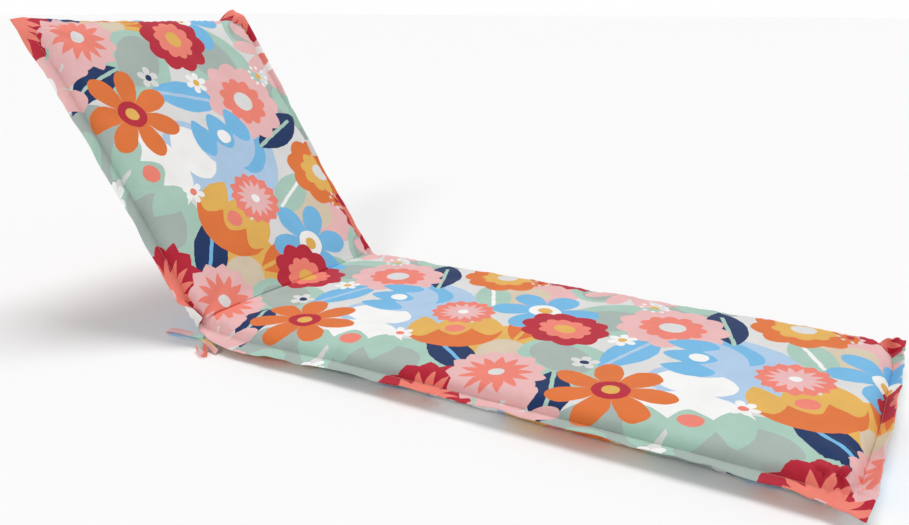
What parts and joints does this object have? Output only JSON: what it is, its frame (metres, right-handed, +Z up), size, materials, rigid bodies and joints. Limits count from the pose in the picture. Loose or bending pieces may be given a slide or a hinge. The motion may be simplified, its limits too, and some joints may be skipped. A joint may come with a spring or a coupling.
{
  "type": "sun lounger cushion",
  "caption": "Padded lounger cushion with a raised back, flat seat, stitched flange all round and a cloth tie at the hip crease.",
  "frame": {"origin": "on the ground, under the middle of the whole cushion with its back raised", "axes": "+X from the raised back towards the foot, +Y from the tie's side to the other long side, +Z up"},
  "size_m": [1.6314, 0.6532, 0.6243],
  "materials": {
    "printed_cloth": "printed woven cotton blend, matt",
    "tie_cloth": "printed woven cotton blend, matt"
  },
  "bodies": {
    "root": {"cushion": "printed_cloth", "tie": "tie_cloth"}
  },
  "joints": []
}
